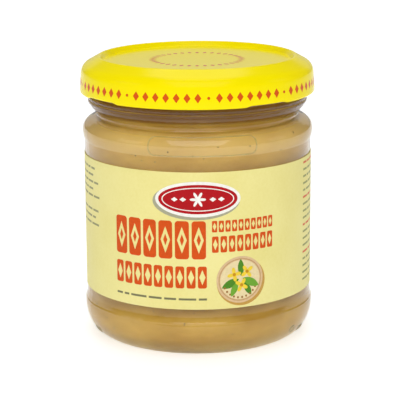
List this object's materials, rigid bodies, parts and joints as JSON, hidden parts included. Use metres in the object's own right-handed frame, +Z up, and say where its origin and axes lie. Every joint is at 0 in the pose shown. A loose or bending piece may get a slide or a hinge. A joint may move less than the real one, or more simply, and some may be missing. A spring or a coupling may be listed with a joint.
{
  "type": "mustard jar",
  "caption": "Round glass jar filled with mustard, with a wrap-round paper label and a twist-off metal lid.",
  "frame": {"origin": "on the jar's axis, at the height of the ring that the jar stands on", "axes": "+Z up along the jar's axis; the front of the label faces -Y, and +X is to the right seen from the front"},
  "size_m": [0.0686, 0.0686, 0.0825],
  "materials": {
    "glass": "clear moulded soda-lime glass, smooth and glossy",
    "mustard": "smooth moist tan-yellow paste",
    "label_paper": "coated pale yellow paper with printed fields of red, orange and grey",
    "lid_enamel": "glossy bright yellow enamel on pressed tinplate"
  },
  "bodies": {
    "root": {"glass_jar": "glass", "mustard": "mustard", "label": "label_paper", "lid": "lid_enamel"}
  },
  "joints": []
}
